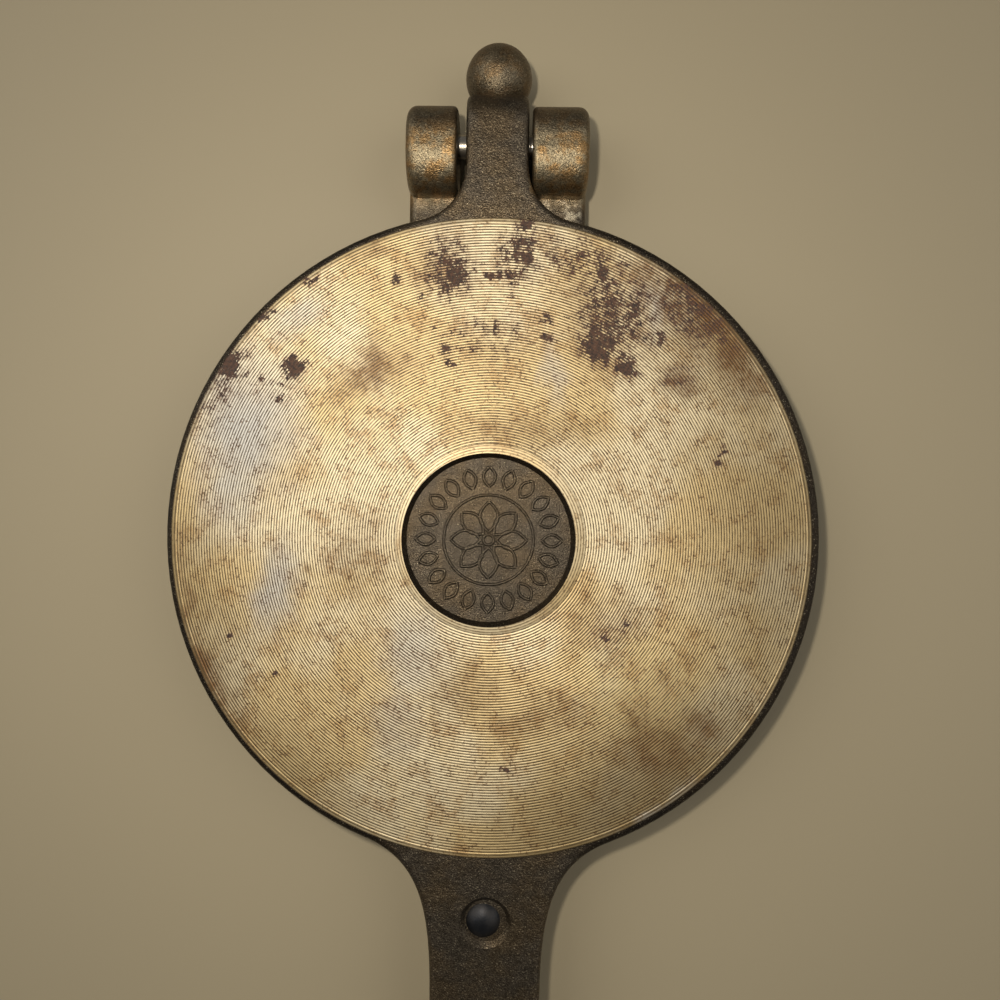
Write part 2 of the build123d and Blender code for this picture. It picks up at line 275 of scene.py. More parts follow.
# %% Where the stains are
RUST_SPOTS = [
    (-10.0, 72.6, 3.0, 0.62), (-9.9, 65.5, 3.5, 0.9), (7.9, 70.5, 2.6, 0.85),
    (7.9, 78.3, 2.6, 0.85), (4.7, 65.1, 2.2, 0.7), (-1.5, 65.6, 1.1, 0.85), (0.4, 65.6, 1.1, 0.85),
    (2.4, 65.6, 1.1, 0.85), (21.0, 67.5, 1.5, 0.8), (26.5, 65.9, 3.5, 0.75), (27.1, 53.4, 3.4, 0.7),
    (27.1, 59.0, 3.4, 0.7), (26.1, 48.6, 5.0, 0.95), (33.5, 58.0, 4.0, 0.7),
    (32.6, 43.8, 2.7, 0.95), (41.2, 49.5, 1.3, 0.9), (41.2, 51.3, 1.3, 0.9), (35.0, 40.6, 1.1, 0.8),
    (36.5, 40.6, 1.1, 0.8), (13.0, 50.6, 1.6, 0.75), (13.0, 55.0, 1.6, 0.75),
    (-11.9, 46.5, 2.3, 0.6), (-11.9, 49.9, 2.3, 0.6), (-11.3, 43.3, 1.2, 0.75),
    (-24.5, 64.3, 1.8, 0.75), (-18.0, 60.0, 1.2, 0.75), (-15.0, 51.9, 1.0, 0.8),
    (3.6, 60.4, 0.9, 0.8), (6.6, 45.1, 0.9, 0.8), (0.0, 51.5, 2.1, 0.6), (0.0, 53.7, 2.1, 0.6),
    (-50.3, 41.7, 2.8, 1.1), (-52.7, 34.5, 1.1, 0.8), (-52.7, 37.5, 1.1, 0.8),
    (-61.4, 40.3, 1.1, 0.6), (-58.2, 39.1, 1.1, 0.6), (-55.0, 37.9, 1.1, 0.6),
    (-66.6, 43.1, 3.2, 1.1), (-57.9, 55.0, 1.3, 0.9), (-56.1, 56.4, 1.3, 0.9),
    (-46.5, 64.0, 1.1, 0.75), (-44.9, 65.0, 1.1, 0.75), (56.6, 19.7, 1.1, 0.95),
    (57.3, 22.7, 0.8, 0.75), (57.3, 24.3, 0.8, 0.75), (28.9, -23.8, 1.0, 0.95),
    (34.1, -20.8, 0.9, 0.9), (4.3, -58.1, 0.8, 0.95), (-53.4, -34.5, 0.8, 0.95),
    (-65.1, -25.2, 0.8, 0.85),
]
RUST_HAZE = [
    (-12.0, 67.0, 8.0, 9.0, 0, 0.62), (6.0, 71.0, 7.0, 8.0, 0, 0.64),
    (22.0, 69.0, 12.0, 6.0, -20, 0.58), (30.0, 57.0, 10.0, 13.0, 15, 0.64),
    (49.0, 57.0, 14.0, 6.0, -43, 0.62), (-2.0, 50.0, 14.0, 9.0, 0, 0.4),
    (-69.0, 38.0, 6.0, 14.0, -25, 0.5), (46.0, 40.0, 5.0, 5.0, 0, 0.42),
    (30.0, -22.0, 10.0, 8.0, 0, 0.3),
]
BROWN_FAT = [
    (50.0, 58.0, 18.0, 7.0, -43, 1.1), (60.0, 46.0, 4.5, 11.0, 30, 0.9),
    (46.8, 39.6, 4.0, 5.0, 20, 0.8), (-29.7, 41.9, 9.5, 5.5, 25, 0.7),
    (-69.0, -38.8, 3.5, 15.0, 28, 1.0), (-76.5, -13.9, 1.5, 12.5, 5, 0.7),
    (42.5, -52.4, 6.5, 7.5, 40, 0.7), (52.4, -45.3, 4.0, 4.0, 40, 0.7),
    (-11.5, 68.9, 7.5, 7.5, 0, 0.5), (27.4, 56.1, 10.0, 13.8, 20, 0.5),
    (-5.2, -38.0, 8.8, 7.5, 0, 0.55), (12.4, -44.0, 12.5, 5.0, 10, 0.5),
    (-33.1, -5.9, 7.5, 10.0, 0, 0.4), (-45.1, -8.7, 1.0, 2.0, 0, 0.9),
    (27.1, -20.1, 10.0, 7.5, 0, 0.45), (6.5, 27.1, 15.0, 4.5, 0, 0.5),
    (-31.5, 70.4, 5.0, 2.0, 25, 0.6),
]
HEAT_BLUE = [
    (15.3, 41.0, 2.5, 6.5, 10, 0.45), (39.4, 58.5, 3.5, 5.5, 20, 0.6),
    (-62.3, 26.3, 11.2, 15.0, 0, 0.85), (-54.3, -13.6, 5.0, 10.0, -10, 0.75),
    (-64.6, 13.8, 7.0, 11.0, 0, 0.7), (-19.1, -28.2, 6.2, 10.0, 0, 0.5),
    (-22.6, -45.7, 5.0, 7.5, 0, 0.42), (-48.9, 55.2, 6.2, 3.5, 35, 0.5),
    (40.2, -70.0, 12.5, 2.0, 35, 0.6),
]
# An olive film, partly real and partly painted shade: it darkens the face towards its edges, most
# of all on the right.
DULL_FILM_AND_SHADE = [
    (72.0, 2.0, 20.0, 52.0, 4, 0.55), (40.0, -66.0, 40.0, 20.0, 36, 0.8),
    (64.0, 45.0, 16.0, 20.0, 30, 0.6), (-74.0, -20.0, 10.0, 30.0, 12, 0.5),
    (-50.0, -66.0, 22.0, 12.0, -40, 0.5),
]
UNDERSIDE_SPOTS = [(-30.0, 28.0, 5.0, 0.8), (41.0, -33.0, 4.0, 0.9), (12.0, 60.0, 3.5, 0.75)]
UNDERSIDE_RUST = [
    (-30.0, 28.0, 6.0, 9.0, 30, 0.8), (41.0, -33.0, 5.0, 3.0, 0, 0.9),
    (12.0, 60.0, 9.0, 3.0, 10, 0.75), (-58.0, -12.0, 2.0, 5.0, 0, 0.7),
]
UNDERSIDE_FAT = [(0.0, 0.0, 60.0, 60.0, 0, 0.5), (35.0, 35.0, 30.0, 12.0, -45, 0.8)]
UNDERSIDE_BLUE = [(-20.0, -50.0, 20.0, 12.0, 0, 0.8), (50.0, 10.0, 10.0, 20.0, 0, 0.6)]
UNDERSIDE_FILM = [(30.0, -40.0, 40.0, 30.0, 20, 0.6)]
print("rust spots", len(RUST_SPOTS), "and larger stains",
      len(RUST_HAZE) + len(BROWN_FAT) + len(HEAT_BLUE) + len(DULL_FILM_AND_SHADE))


# %% Stains
def stained(tree, place, ovals, soft):
    """How strongly any of these ovals covers a point, fading out over the given softness."""
    covered = 0.0
    for across, along, half_width, half_length, turned_by, strength in ovals:
        mapped = add_node(tree, "ShaderNodeMapping", {
            "Vector": place, "Location": (across, along, 0),
            "Rotation": (0, 0, math.radians(turned_by)),
            "Scale": (half_width, half_length, 1e6)}, vector_type="TEXTURE")
        away = add_node(tree, "ShaderNodeVectorMath", {0: mapped.outputs["Vector"]},
                        operation="LENGTH").outputs["Value"]
        here = ramp(tree, away, 1.0 - soft, 1.0 + soft, strength, 0.0)
        covered = math_node(tree, "MAXIMUM", here, covered)
    return covered


def spotted(tree, place, spots, soft):
    """The same for round spots."""
    flat = add_node(tree, "ShaderNodeVectorMath", {0: place, 1: (1, 1, 0)},
                    operation="MULTIPLY").outputs["Vector"]
    covered = 0.0
    for across, along, radius, strength in spots:
        away = add_node(tree, "ShaderNodeVectorMath", {0: flat, 1: (across, along, 0)},
                        operation="DISTANCE").outputs["Value"]
        here = ramp(tree, away, radius * (1.0 - soft), radius * (1.0 + soft), strength, 0.0)
        covered = math_node(tree, "MAXIMUM", here, covered)
    return covered


def warped(tree, place, size_mm, reach_mm):
    """The place, pushed about by noise, so that an oval laid on it gets a ragged edge."""
    push = add_node(tree, "ShaderNodeTexNoise", {
        "Vector": place, "Scale": 1 / size_mm, "Detail": 3.0, "Roughness": 0.6})
    centred = add_node(tree, "ShaderNodeVectorMath", {
        0: push.outputs["Color"], 1: (0.5, 0.5, 0.5)}, operation="SUBTRACT")
    moved = add_node(tree, "ShaderNodeVectorMath", {
        0: centred.outputs["Vector"], 1: (2 * reach_mm,) * 3, 2: place}, operation="MULTIPLY_ADD")
    return moved.outputs["Vector"]


# %% Turned iron
def turned_finish(tree, place, spots, rust_ovals, fat_ovals, blue_ovals, dull_and_shade_ovals):
    """Colour, metallic and roughness of heat-tinted turned iron with fat, rust and painted shade.
    """
    radius, angle = about_centre(tree, place, LATHE_CENTRE)
    turns = math_node(tree, "DIVIDE", math_node(tree, "SUBTRACT", radius, RINGS_INNER), RING_PITCH)
    from_ridge = math_node(tree, "ABSOLUTE", math_node(
        tree, "SUBTRACT", math_node(tree, "FRACT", turns), 0.5))
    groove = ramp(tree, from_ridge, 0.06, 0.40, 1.0, 0.0)
    along_ring = add_node(tree, "ShaderNodeCombineXYZ", {
        "X": math_node(tree, "MULTIPLY", angle, 18.0), "Y": turns})
    streaks = add_node(tree, "ShaderNodeTexNoise", {
        "Vector": along_ring.outputs["Vector"], "Scale": 1.3, "Detail": 3.0, "Roughness": 0.6})
    streak = streaks.outputs["Fac"]

    slow = noise(tree, place, 30.0, detail=3.0, seed=5.0)
    patchy = noise(tree, place, 6.0, detail=5.0, roughness=0.65, seed=9.0)
    fine = noise(tree, place, 0.8, detail=3.0, roughness=0.7, seed=17.0)
    grainy = add_node(tree, "ShaderNodeMath", {0: fine, 1: 0.45, 2: patchy},
                      operation="MULTIPLY_ADD").outputs["Value"]
    ridge = mix_colour(tree, ramp(tree, slow, 0.40, 0.60), "#cfbf9c", "#c5ad7d")
    ridge = mix_colour(tree, ramp(tree, grainy, 0.68, 0.95, 0.0, 0.6), ridge, "#96703e")
    loose = warped(tree, place, 9.0, 6.0)
    # The olive film darkens the ridges: partly film, partly painted shade.
    dull_and_shade = stained(tree, loose, dull_and_shade_ovals, 0.9)
    ridge = mix_colour(tree, dull_and_shade, ridge, "#6e5c38")
    blue = stained(tree, loose, blue_ovals, 0.9)
    ridge = mix_colour(tree, blue, ridge, "#a5a4a0")
    fat = stained(tree, loose, fat_ovals, 0.8)
    fat = math_node(tree, "MULTIPLY", fat, ramp(tree, grainy, 0.50, 0.85, 0.30, 1.0))
    ridge = mix_colour(tree, fat, ridge, "#62421c")
    freckle = noise(tree, place, 0.6, detail=1.0, seed=29.0)
    crowd = ramp(tree, patchy, 0.35, 0.65, -0.04, 0.07)
    freckle = math_node(tree, "ADD", freckle, crowd)
    ridge = mix_colour(tree, ramp(tree, freckle, 0.66, 0.71, 0.0, 0.7), ridge, "#553a1d")
    depth = math_node(tree, "MULTIPLY", groove, ramp(tree, streak, 0.30, 0.65, 0.55, 1.0))
    tint = mix_colour(tree, depth, ridge, "#33230f")

    # The plain lands inside and outside the rings have no grooves, so they are darkened evenly:
    # partly the grooves' brown fat, partly painted shade of grooves that are not modelled there.
    grooved = between(tree, radius, RINGS_INNER, RINGS_OUTER, 0.1)
    tint = mix_colour(tree, ramp(tree, grooved, 0.0, 1.0, 0.35, 0.0), tint, "#6b5a3c")
    near = warped(tree, place, 3.2, 2.8)
    spread = math_node(tree, "MAXIMUM", spotted(tree, near, spots, 0.8),
                       stained(tree, near, rust_ovals, 0.8))
    coarse = noise(tree, place, 2.6, detail=5.0, roughness=0.75, seed=3.0)
    pits = noise(tree, place, 0.7, detail=3.0, roughness=0.7, seed=41.0)
    speck = add_node(tree, "ShaderNodeMath", {0: pits, 1: 0.55, 2: coarse},
                     operation="MULTIPLY_ADD").outputs["Value"]
    marks = math_node(tree, "ADD", spread, math_node(tree, "MULTIPLY", speck, 1.9))
    marks = math_node(tree, "ADD", marks, math_node(tree, "MULTIPLY", groove, 0.22))
    wash = math_node(tree, "MULTIPLY", ramp(tree, spread, 0.05, 0.65),
                     ramp(tree, speck, 0.62, 0.95))
    tint = mix_colour(tree, math_node(tree, "MULTIPLY", wash, 0.85), tint, "#4e321c")
    rust = ramp(tree, marks, 2.06, 2.22, 0.0, 0.95)
    dark_rust = mix_colour(tree, ramp(tree, fine, 0.35, 0.65), "#22130c", "#4c301f")
    tint = mix_colour(tree, rust, tint, dark_rust)
    metal = math_node(tree, "SUBTRACT", 0.55, math_node(tree, "MULTIPLY", rust, 0.5))
    rough = math_node(tree, "ADD", 0.46, math_node(tree, "MULTIPLY", rust, 0.30))
    return tint, metal, rough


# %% [markdown]
# One CAD part is one casting, raw in most places and turned in a few, so its material mixes the
# two finishes by place. The turned skin begins just above the raw one, and the recess in its
# middle is raw again. The baking faces, in the middle of the closed iron, are nearly black and
# smooth from years of use: seasoned iron.

# %% Castings
TURNED_FROM_MIDDLE = (9.3, 11.0)
BAKED_FROM_MIDDLE = (0.9, 1.1)
BAKED_RADII = (82.0, 82.6)
SEASONED_ROUGHNESS = 0.34


def casting_material(name, *stains):
    """A casting: sand-cast, turned on its back, and seasoned nearly black where it bakes."""
    material, tree, shader = new_material(name)
    place = place_in_mm(tree)
    raw, raw_rough, raw_skin = sand_cast_finish(tree, place)
    bright, metal, bright_rough = turned_finish(tree, place, *stains)
    _, _, height = axes_of(tree, place)
    from_middle = math_node(tree, "ABSOLUTE", math_node(tree, "SUBTRACT", height, FACE_HEIGHT / 2))
    lathe_radius, _ = about_centre(tree, place, LATHE_CENTRE)
    recess_radius, _ = about_centre(tree, place, RECESS_CENTRE)
    is_turned = between(tree, from_middle, *TURNED_FROM_MIDDLE, 0.04)
    on_face = between(tree, lathe_radius, 0.0, FACE_RADIUS + 0.3, 0.1)
    off_recess = ramp(tree, recess_radius, RECESS_RADIUS - 0.05, RECESS_RADIUS + 0.05)
    is_turned = math_node(tree, "MULTIPLY", is_turned,
                          math_node(tree, "MULTIPLY", on_face, off_recess))
    bakes = math_node(tree, "MULTIPLY", ramp(tree, from_middle, *BAKED_FROM_MIDDLE, 1.0, 0.0),
                      ramp(tree, lathe_radius, *BAKED_RADII, 1.0, 0.0))
    colour = mix_colour(tree, is_turned, raw, bright)
    colour = mix_colour(tree, bakes, colour, "#40382f")
    tree.links.new(colour, shader.inputs["Base Color"])
    rough = add_node(tree, "ShaderNodeMix", {0: is_turned, 2: raw_rough, 3: bright_rough})
    rough = add_node(tree, "ShaderNodeMix", {
        0: bakes, 2: rough.outputs[0], 3: SEASONED_ROUGHNESS})
    tree.links.new(rough.outputs[0], shader.inputs["Roughness"])
    metallic = add_node(tree, "ShaderNodeMix", {0: is_turned, 2: 0.9, 3: metal}).outputs[0]
    tree.links.new(metallic, shader.inputs["Metallic"])
    smooth = math_node(tree, "MAXIMUM", is_turned, bakes)
    flat = add_node(tree, "ShaderNodeNewGeometry").outputs["Normal"]
    skin = add_node(tree, "ShaderNodeMix", {0: smooth, 4: raw_skin, 5: flat}, data_type="VECTOR")
    tree.links.new(skin.outputs[1], shader.inputs["Normal"])
    return material


upper_iron = casting_material("cast_iron_upper", RUST_SPOTS, RUST_HAZE, BROWN_FAT, HEAT_BLUE,
                              DULL_FILM_AND_SHADE)
lower_iron = casting_material("cast_iron_lower", UNDERSIDE_SPOTS, UNDERSIDE_RUST, UNDERSIDE_FAT,
                              UNDERSIDE_BLUE, UNDERSIDE_FILM)
print("made", upper_iron.name, "and", lower_iron.name)

# %% [markdown]
# ## Smaller finishes
# The pin is drawn steel, kept bright by the tongue that turns on it. The rivets are headed from
# steel and blued. The handle bars are hot-rolled steel with dark mill scale, the grips are oiled
# beech, and their pins are drawn brass.


# %% Steel, brass and beech
def plain_metal(name, tint, worn, roughness, grain_mm):
    """Drawn or rolled metal with faint wear."""
    material, tree, shader = new_material(name)
    place = place_in_mm(tree)
    wear = noise(tree, place, 6.0, detail=4.0, roughness=0.6)
    fine = noise(tree, place, grain_mm, detail=2.0)
    base = mix_colour(tree, ramp(tree, wear, 0.40, 0.65), tint, worn)
    tree.links.new(base, shader.inputs["Base Color"])
    shader.inputs["Metallic"].default_value = 0.9
    rough = ramp(tree, wear, 0.3, 0.7, roughness, roughness + 0.12)
    tree.links.new(rough, shader.inputs["Roughness"])
    tree.links.new(bump(tree, fine, 0.03), shader.inputs["Normal"])
    return material


def oiled_beech(name):
    """Beech: fine straight grain along the grip, with short darker flecks."""
    material, tree, shader = new_material(name)
    place = place_in_mm(tree)
    along = add_node(tree, "ShaderNodeMapping", {"Vector": place, "Scale": (1.0, 0.05, 1.0)})
    rings = noise(tree, along.outputs["Vector"], 2.6, detail=3.0, distortion=0.6)
    short = add_node(tree, "ShaderNodeMapping", {"Vector": place, "Scale": (1.0, 0.12, 1.0)})
    flecks = noise(tree, short.outputs["Vector"], 0.5, detail=1.0, seed=7.0)
    base = mix_colour(tree, ramp(tree, rings, 0.35, 0.65), "#a8713f", "#7c4c27")
    base = mix_colour(tree, ramp(tree, flecks, 0.60, 0.72, 0.0, 0.7), base, "#4d2c16")
    tree.links.new(base, shader.inputs["Base Color"])
    shader.inputs["Roughness"].default_value = 0.42
    tree.links.new(bump(tree, flecks, 0.05, 0.6), shader.inputs["Normal"])
    return material


pin_steel = plain_metal("drawn_steel_bright", "#b9b4aa", "#8f8677", 0.22, 0.4)
bar_steel = plain_metal("hot_rolled_steel_mill_scale", "#3d3a37", "#4b443c", 0.45, 0.5)
rivet_steel = plain_metal("headed_steel_blued", "#2a2b2e", "#363433", 0.42, 0.4)
brass = plain_metal("drawn_brass", "#b08a4a", "#856333", 0.30, 0.4)
beech = oiled_beech("beech_oiled")

finish_of = {"hinge_pin": pin_steel}
for node in nodes:
    if node.endswith("handle_bar"):
        finish_of[node] = bar_steel
    elif "neck_rivet" in node:
        finish_of[node] = rivet_steel
    elif "grip_pin" in node:
        finish_of[node] = brass
    elif node.endswith("_grip"):
        finish_of[node] = beech
    elif node.endswith("_plate"):
        finish_of[node] = upper_iron if node.startswith("upper") else lower_iron
for node, finish in finish_of.items():
    slots = nodes[node].data.materials
    slots.clear()
    slots.append(finish)
print("finished", len(finish_of), "of", len(nodes))

# %% [markdown]
# ## The lathe's rings
# The rings follow a rule: a flat washer with a groove at a fixed pitch in its top. A Geometry
# Nodes tree makes that from a grid whose rows go round and whose columns go outward. Set
# Position bends the grid into a ring and lowers each point into its groove. Three more columns
# go down the rim, back underneath and up to the first one, so that the washer is closed. Edges
# that turn a sharp corner stay crisp. The tree's inputs are the sizes in millimetres, so the
# same tree makes the upper face and, turned over, the lower.


# %% Geometry Nodes helpers
def new_geometry_tree(name, sizes):
    """A geometry tree whose named inputs have the given defaults, and one geometry output."""
    tree = bpy.data.node_groups.new(name, "GeometryNodeTree")
    tree.interface.new_socket("Geometry", in_out="OUTPUT", socket_type="NodeSocketGeometry")
    for label, value in sizes.items():
        kind = "NodeSocketInt" if isinstance(value, int) else "NodeSocketFloat"
        if isinstance(value, bpy.types.Material):
            kind = "NodeSocketMaterial"
        socket = tree.interface.new_socket(label, in_out="INPUT", socket_type=kind)
        if kind != "NodeSocketMaterial":
            socket.default_value = value
    return tree


def made_by(tree, name, sizes):
    """Run a geometry tree with these sizes, and keep the result as a plain mesh object."""
    scratch = bpy.data.objects.new(name + "_maker", bpy.data.meshes.new(name + "_maker"))
    bpy.context.scene.collection.objects.link(scratch)
    modifier = scratch.modifiers.new("maker", "NODES")
    modifier.node_group = tree
    for item in tree.interface.items_tree:
        if item.in_out == "INPUT" and item.name in sizes:
            modifier[item.identifier] = sizes[item.name]
    graph = bpy.context.evaluated_depsgraph_get()
    mesh = bpy.data.meshes.new_from_object(scratch.evaluated_get(graph))
    bpy.data.objects.remove(scratch)
    piece = bpy.data.objects.new(name, mesh)
    bpy.context.scene.collection.objects.link(piece)
    return piece


# %% The rings' tree
STEPS_PER_TURN = 4.0
COLUMNS_UNDER = 3.0
HALF_UNDER = COLUMNS_UNDER / 2
CRISP_CORNER = math.radians(60)
JOIN_WITHIN = 1e-7


def rings_tree():
    """A closed washer with a grooved top, facing +Z, in metres about the lathe's centre."""
    sizes = {"Inner Radius": RINGS_INNER, "Pitch": RING_PITCH, "Depth": RING_DEPTH,
             "Centre X": LATHE_CENTRE.x, "Height": RING_TOP, "Thickness": RING_THICKNESS,
             "Turns": RING_TURNS, "Round": RING_SIDES, "Finish": upper_iron}
    tree = new_geometry_tree("lathe_rings", sizes)
    size = add_node(tree, "NodeGroupInput").outputs
    rim = math_node(tree, "MULTIPLY", size["Turns"], STEPS_PER_TURN)
    columns = math_node(tree, "ADD", rim, 1.0 + COLUMNS_UNDER)
    grid = add_node(tree, "GeometryNodeMeshGrid", {
        "Size X": 1.0, "Size Y": 1.0, "Vertices X": columns, "Vertices Y": size["Round"]})
    index = add_node(tree, "GeometryNodeInputIndex").outputs["Index"]
    column = math_node(tree, "FLOOR", math_node(tree, "DIVIDE", index, size["Round"]))
    row = math_node(tree, "MODULO", index, size["Round"])
    quarter = math_node(tree, "DIVIDE", size["Pitch"], STEPS_PER_TURN)
    past_rim = math_node(tree, "SUBTRACT", column, rim)
    under = add_node(tree, "ShaderNodeMath", {0: past_rim, 1: HALF_UNDER, 2: 0.6},
                     operation="COMPARE").outputs["Value"]
    outward = math_node(tree, "LESS_THAN", past_rim, HALF_UNDER)
    step = math_node(tree, "MULTIPLY", math_node(tree, "MINIMUM", column, rim), outward)
    radius = math_node(tree, "ADD", size["Inner Radius"],
                       math_node(tree, "MULTIPLY", step, quarter))
    last = math_node(tree, "SUBTRACT", size["Round"], 1.0)
    angle = math_node(tree, "MULTIPLY", math_node(tree, "DIVIDE", row, last), 2 * math.pi)
    turned = math_node(tree, "MULTIPLY", step, 2 * math.pi / STEPS_PER_TURN)
    wave = math_node(tree, "COSINE", turned)
    drop = math_node(tree, "MULTIPLY", math_node(tree, "SUBTRACT", 1.0, wave), 0.5)
    height = math_node(tree, "SUBTRACT", size["Height"],
                       math_node(tree, "MULTIPLY", drop, size["Depth"]))
    height = math_node(tree, "SUBTRACT", height,
                       math_node(tree, "MULTIPLY", under, size["Thickness"]))
    x = math_node(tree, "ADD", size["Centre X"],
                  math_node(tree, "MULTIPLY", radius, math_node(tree, "COSINE", angle)))
    y = math_node(tree, "MULTIPLY", radius, math_node(tree, "SINE", angle))
    place = add_node(tree, "ShaderNodeCombineXYZ", {"X": x, "Y": y, "Z": height})
    metres = add_node(tree, "ShaderNodeVectorMath", {0: place.outputs["Vector"], "Scale": MM},
                      operation="SCALE")
    wound = add_node(tree, "GeometryNodeSetPosition", {
        "Geometry": grid.outputs["Mesh"], "Position": metres.outputs["Vector"]})
    joined = add_node(tree, "GeometryNodeMergeByDistance", {
        "Geometry": wound.outputs["Geometry"], "Distance": JOIN_WITHIN})
    smooth = add_node(tree, "GeometryNodeSetShadeSmooth", {
        "Geometry": joined.outputs["Geometry"], "Shade Smooth": True})
    bend = add_node(tree, "GeometryNodeInputMeshEdgeAngle").outputs["Unsigned Angle"]
    corner = math_node(tree, "GREATER_THAN", bend, CRISP_CORNER)
    crisp = add_node(tree, "GeometryNodeSetShadeSmooth", {
        "Geometry": smooth.outputs["Geometry"], "Selection": corner, "Shade Smooth": False},
        domain="EDGE")
    real = add_node(tree, "GeometryNodeRealizeInstances", {"Geometry": crisp.outputs["Geometry"]})
    finished = add_node(tree, "GeometryNodeSetMaterial", {
        "Geometry": real.outputs["Geometry"], "Material": size["Finish"]})
    add_node(tree, "NodeGroupOutput", {"Geometry": finished.outputs["Geometry"]})
    return tree


# %% Wind the rings on both faces
def turn_over(piece):
    """Mirror a piece to the lower half, through the closing plane, with its faces outward."""
    piece.data.transform(Matrix.Diagonal((1, 1, -1, 1)))
    piece.data.transform(Matrix.Translation((0, 0, FACE_HEIGHT * MM)))
    piece.data.flip_normals()


tree = rings_tree()
for half, iron in (("upper", upper_iron), ("lower", lower_iron)):
    rings = made_by(tree, half + "_turned_rings", {"Finish": iron})
    if half == "lower":
        turn_over(rings)
    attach(rings, half + "_half")
    print(rings.name, len(rings.data.polygons), "faces", rings.data.polygons[0].normal)

# %% [markdown]
# ## Raised ornament
# The mould-maker cut the flower in the recess and the pattern that marks the wafers. Both are
# thin raised ribs, and most of them repeat round the centre, so a wheel of ribs is one
# Geometry Nodes tree: two arcs that meet at both tips make a petal, a flat oval is swept along
# them, and the petal is set on as many points as asked, each turned a step further. Rings
# and scrolls use two more small trees. Each rib is a closed tube, half sunk in the iron.


# %% A rib swept along a curve
RIB_SIDES = 8
ARC_STEPS = 18
RING_STEPS = 160
SCROLL_STEPS = 28
SCROLL_EYE = 0.8
BAKING_FLOOR = 9.15


def swept_rib(tree, curve, size):
    """A flat oval, as wide and as high as the tree's inputs say, swept along a curve."""
    oval = add_node(tree, "GeometryNodeCurvePrimitiveCircle", {
        "Resolution": RIB_SIDES, "Radius": 1.0})
    half = math_node(tree, "MULTIPLY", size["Rib Width"], 0.5)
    scale = add_node(tree, "ShaderNodeCombineXYZ", {"X": half, "Y": size["Rib Height"], "Z": 1.0})
    section = add_node(tree, "GeometryNodeTransform", {
        "Geometry": oval.outputs["Curve"], "Scale": scale.outputs["Vector"]})
    level = add_node(tree, "GeometryNodeSetCurveNormal", {"Curve": curve}, mode="Z_UP")
    rib = add_node(tree, "GeometryNodeCurveToMesh", {
        "Curve": level.outputs["Curve"], "Profile Curve": section.outputs["Geometry"],
        "Fill Caps": True})
    return rib.outputs["Mesh"]


def finish_wheel(tree, shape, size):
    """Set a shape round the centre, lift it to the floor it stands on, and give it its finish."""
    points = add_node(tree, "GeometryNodePoints", {"Count": size["Count"]})
    index = add_node(tree, "GeometryNodeInputIndex").outputs["Index"]
    step = math_node(tree, "DIVIDE", 2 * math.pi, size["Count"])
    first = math_node(tree, "RADIANS", size["Turn"])
    angle = add_node(tree, "ShaderNodeMath", {0: index, 1: step, 2: first},
                     operation="MULTIPLY_ADD")
    turned = add_node(tree, "ShaderNodeCombineXYZ", {"Z": angle.outputs["Value"]})
    wheel = add_node(tree, "GeometryNodeInstanceOnPoints", {
        "Points": points.outputs["Points"], "Instance": shape,
        "Rotation": turned.outputs["Vector"]})
    real = add_node(tree, "GeometryNodeRealizeInstances", {"Geometry": wheel.outputs["Instances"]})
    lift = add_node(tree, "ShaderNodeCombineXYZ", {
        "X": size["Centre X"], "Y": size["Centre Y"], "Z": size["Floor"]})
    metres = add_node(tree, "ShaderNodeVectorMath", {0: lift.outputs["Vector"], "Scale": MM},
                      operation="SCALE")
    placed = add_node(tree, "GeometryNodeTransform", {
        "Geometry": real.outputs["Geometry"], "Translation": metres.outputs["Vector"],
        "Scale": (MM, MM, MM)})
    smooth = add_node(tree, "GeometryNodeSetShadeSmooth", {"Geometry": placed.outputs["Geometry"]})
    finished = add_node(tree, "GeometryNodeSetMaterial", {
        "Geometry": smooth.outputs["Geometry"], "Material": size["Finish"]})
    add_node(tree, "NodeGroupOutput", {"Geometry": finished.outputs["Geometry"]})
    return tree


RIB_SIZES = {"Count": 8, "Turn": 0.0, "Centre X": 0.0, "Centre Y": 0.0, "Floor": BAKING_FLOOR,
             "Rib Width": 1.0, "Rib Height": 0.45, "Finish": lower_iron}


# %% Petals, rings and scrolls
def petal_wheel_tree():
    """Petals with pointed tips, each two arcs from a start radius to an end radius."""
    tree = new_geometry_tree("petal_wheel", {
        "Start Radius": 10.0, "End Radius": 40.0, "Half Width": 8.0, **RIB_SIZES})
    size = add_node(tree, "NodeGroupInput").outputs
    both = math_node(tree, "ADD", size["Start Radius"], size["End Radius"])
    middle = math_node(tree, "MULTIPLY", both, 0.5)
    tip_in = add_node(tree, "ShaderNodeCombineXYZ", {"X": size["Start Radius"]}).outputs["Vector"]
    tip_out = add_node(tree, "ShaderNodeCombineXYZ", {"X": size["End Radius"]}).outputs["Vector"]
    arcs = add_node(tree, "GeometryNodeJoinGeometry")
    for side in (2.0, -2.0):
        bulge = math_node(tree, "MULTIPLY", size["Half Width"], side)
        pull = add_node(tree, "ShaderNodeCombineXYZ", {"X": middle, "Y": bulge}).outputs["Vector"]
        arc = add_node(tree, "GeometryNodeCurveQuadraticBezier", {
            "Resolution": ARC_STEPS, "Start": tip_in, "Middle": pull, "End": tip_out})
        tree.links.new(arc.outputs["Curve"], arcs.inputs["Geometry"])
    return finish_wheel(tree, swept_rib(tree, arcs.outputs["Geometry"], size), size)


